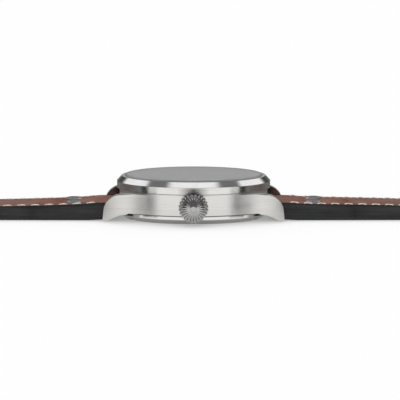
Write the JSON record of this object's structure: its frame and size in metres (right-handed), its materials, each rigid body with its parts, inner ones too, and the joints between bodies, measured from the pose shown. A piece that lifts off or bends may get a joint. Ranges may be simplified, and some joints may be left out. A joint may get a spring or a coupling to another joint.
{
  "type": "pilot watch",
  "caption": "Round steel pilot's wristwatch with bevelled bezel, long lugs, fluted onion crown, automatic movement and a riveted, padded leather strap with pin buckle, laid out flat.",
  "frame": {"origin": "where the case axis meets the plane that the case back rests on", "axes": "+Z out through the crystal, +X to 12 o'clock and the buckle, -Y to 3 o'clock and the crown"},
  "size_m": [0.2519, 0.0482, 0.0119],
  "materials": {
    "brushed_steel": "satin brushed",
    "polished_steel": "polished",
    "sapphire": "polished",
    "seal": "matt",
    "dial_black": "matt",
    "hand_steel": "satin with luminous filling",
    "nickel_plate": "striped and grained",
    "gilt_brass": "polished",
    "blued_steel": "polished blue",
    "ruby": "polished",
    "strap_leather": "oiled, satin",
    "lining_leather": "matt",
    "strap_filler": "matt"
  },
  "bodies": {
    "case": {"mid_case": "brushed_steel", "bezel": "brushed_steel", "crystal": "sapphire", "crystal_gasket": "seal", "inner_ring": "dial_black", "case_back": "brushed_steel", "back_window": "sapphire", "back_gasket": "seal", "crown_tube": "polished_steel", "dial": "dial_black", "movement_ring": "nickel_plate", "main_plate": "nickel_plate", "barrel_bridge": "nickel_plate", "train_bridge": "nickel_plate", "balance_cock": "nickel_plate", "pallet_cock": "nickel_plate", "bridge_screws": "blued_steel", "jewels": "ruby", "rotor_screw": "polished_steel", "hairspring": "blued_steel", "spring_bars": "polished_steel", "spring_bar_12_spring": "polished_steel", "spring_bar_6_spring": "polished_steel"},
    "crown_slide": {"crown_gasket": "seal"},
    "crown": {"crown": "polished_steel", "winding_stem": "polished_steel"},
    "winding_pinion": {"winding_pinion": "polished_steel"},
    "crown_wheel": {"crown_wheel": "polished_steel"},
    "ratchet": {"ratchet_wheel": "polished_steel", "barrel_arbor": "polished_steel"},
    "minute_hand": {"minute_hand": "hand_steel", "cannon_pinion": "polished_steel"},
    "minute_wheel": {"minute_wheel": "gilt_brass"},
    "hour_hand": {"hour_hand": "hand_steel", "hour_wheel": "gilt_brass"},
    "second_hand": {"second_hand": "hand_steel", "fourth_wheel": "gilt_brass"},
    "third_wheel": {"third_wheel": "gilt_brass"},
    "centre_wheel": {"centre_wheel": "gilt_brass"},
    "barrel": {"mainspring_barrel": "gilt_brass", "mainspring": "polished_steel"},
    "escape_wheel": {"escape_wheel": "polished_steel"},
    "pallet_fork": {"pallet_fork": "polished_steel"},
    "balance": {"balance_wheel": "gilt_brass"},
    "rotor": {"rotor": "nickel_plate"},
    "strap_12": {"strap_12_top": "strap_leather", "strap_12_padding": "strap_filler", "strap_12_lining": "lining_leather", "strap_12_rivets": "polished_steel", "fixed_keeper": "strap_leather"},
    "strap_6": {"strap_6_top": "strap_leather", "strap_6_padding": "strap_filler", "strap_6_lining": "lining_leather", "strap_6_rivets": "polished_steel"},
    "free_keeper": {"free_keeper": "strap_leather"},
    "buckle": {"buckle_frame": "brushed_steel", "buckle_bar": "polished_steel"},
    "buckle_tongue": {"buckle_tongue": "polished_steel"},
    "spring_bar_12_tip": {"spring_bar_12_tip": "polished_steel"},
    "spring_bar_6_tip": {"spring_bar_6_tip": "polished_steel"}
  },
  "joints": [
    {"name": "crown_pull", "type": "slide", "parent": "case", "child": "crown_slide", "axis": [0, -1, 0], "range_m": [0, 0.001]},
    {"name": "crown_turn", "type": "hinge", "parent": "crown_slide", "child": "crown", "pos_m": [0, -0.024, 0.0049], "axis": [0, -1, 0], "continuous": true},
    {"name": "winding_pinion_turn", "type": "hinge", "parent": "case", "child": "winding_pinion", "pos_m": [0, -0.0098, 0.0049], "axis": [0, -1, 0], "continuous": true},
    {"name": "crown_wheel_turn", "type": "hinge", "parent": "case", "child": "crown_wheel", "pos_m": [0, -0.0072, 0.0031], "axis": [0, 0, 1], "continuous": true},
    {"name": "ratchet_turn", "type": "hinge", "parent": "case", "child": "ratchet", "pos_m": [0.00445, -0.00445, 0.0031], "axis": [0, 0, 1], "continuous": true},
    {"name": "minute_hand_turn", "type": "hinge", "parent": "case", "child": "minute_hand", "pos_m": [0, 0, 0.008], "axis": [0, 0, -1], "continuous": true},
    {"name": "minute_wheel_turn", "type": "hinge", "parent": "case", "child": "minute_wheel", "pos_m": [-0.00056, -0.00315, 0.006], "axis": [0, 0, -1], "continuous": true},
    {"name": "hour_hand_turn", "type": "hinge", "parent": "case", "child": "hour_hand", "pos_m": [0, 0, 0.0075], "axis": [0, 0, -1], "continuous": true},
    {"name": "second_hand_turn", "type": "hinge", "parent": "case", "child": "second_hand", "pos_m": [0, 0, 0.0086], "axis": [0, 0, -1], "continuous": true},
    {"name": "third_wheel_turn", "type": "hinge", "parent": "case", "child": "third_wheel", "pos_m": [-0.00132, 0.00362, 0.0032], "axis": [0, 0, -1], "continuous": true},
    {"name": "centre_wheel_turn", "type": "hinge", "parent": "case", "child": "centre_wheel", "pos_m": [0, 0, 0.0035], "axis": [0, 0, -1], "continuous": true},
    {"name": "barrel_turn", "type": "hinge", "parent": "case", "child": "barrel", "pos_m": [0.00445, -0.00445, 0.004], "axis": [0, 0, -1], "continuous": true},
    {"name": "escape_wheel_turn", "type": "hinge", "parent": "case", "child": "escape_wheel", "pos_m": [-0.00352, -0.00128, 0.0038], "axis": [0, 0, -1], "continuous": true},
    {"name": "pallet_fork_rock", "type": "hinge", "parent": "case", "child": "pallet_fork", "pos_m": [-0.00544, -0.00254, 0.0038], "axis": [0, 0, 1], "range_deg": [-4, 4]},
    {"name": "balance_swing", "type": "hinge", "parent": "case", "child": "balance", "pos_m": [-0.00708, -0.00442, 0.003], "axis": [0, 0, 1], "range_deg": [-135, 135], "stiffness_Nm_per_rad": 0.0000004, "deforming": ["hairspring"]},
    {"name": "rotor_turn", "type": "hinge", "parent": "case", "child": "rotor", "pos_m": [0, 0, 0.0014], "axis": [0, 0, 1], "continuous": true},
    {"name": "strap_12_hinge", "type": "hinge", "parent": "case", "child": "strap_12", "pos_m": [0.0226, 0, 0.0026], "axis": [0, -1, 0], "range_deg": [-80, 70]},
    {"name": "strap_6_hinge", "type": "hinge", "parent": "case", "child": "strap_6", "pos_m": [-0.0226, 0, 0.0026], "axis": [0, 1, 0], "range_deg": [-80, 70]},
    {"name": "free_keeper_slide", "type": "slide", "parent": "strap_12", "child": "free_keeper", "axis": [1, 0, 0], "range_m": [-0.0065, 0.0033]},
    {"name": "buckle_hinge", "type": "hinge", "parent": "strap_12", "child": "buckle", "pos_m": [0.0976, 0, 0.0027], "axis": [0, -1, 0], "range_deg": [-80, 25]},
    {"name": "tongue_hinge", "type": "hinge", "parent": "buckle", "child": "buckle_tongue", "pos_m": [0.0976, 0, 0.0027], "axis": [0, -1, 0], "range_deg": [0, 75]},
    {"name": "spring_bar_12_tip_slide", "type": "slide", "parent": "case", "child": "spring_bar_12_tip", "axis": [0, 1, 0], "range_m": [0, 0.0013], "stiffness_N_per_m": 1500, "springref_m": -0.001, "deforming": ["spring_bar_12_spring"]},
    {"name": "spring_bar_6_tip_slide", "type": "slide", "parent": "case", "child": "spring_bar_6_tip", "axis": [0, -1, 0], "range_m": [0, 0.0013], "stiffness_N_per_m": 1500, "springref_m": -0.001, "deforming": ["spring_bar_6_spring"]}
  ],
  "couplings": [
    {"joint": "winding_pinion_turn", "follows": "crown_turn", "ratio": 1},
    {"joint": "crown_wheel_turn", "follows": "crown_turn", "ratio": 0.66667},
    {"joint": "ratchet_turn", "follows": "crown_turn", "ratio": -0.46667},
    {"joint": "minute_wheel_turn", "follows": "minute_hand_turn", "ratio": -0.33333},
    {"joint": "hour_hand_turn", "follows": "minute_hand_turn", "ratio": 0.083333},
    {"joint": "third_wheel_turn", "follows": "second_hand_turn", "ratio": -0.13333},
    {"joint": "centre_wheel_turn", "follows": "second_hand_turn", "ratio": 0.016667},
    {"joint": "barrel_turn", "follows": "second_hand_turn", "ratio": -0.0027778},
    {"joint": "escape_wheel_turn", "follows": "second_hand_turn", "ratio": -10}
  ]
}
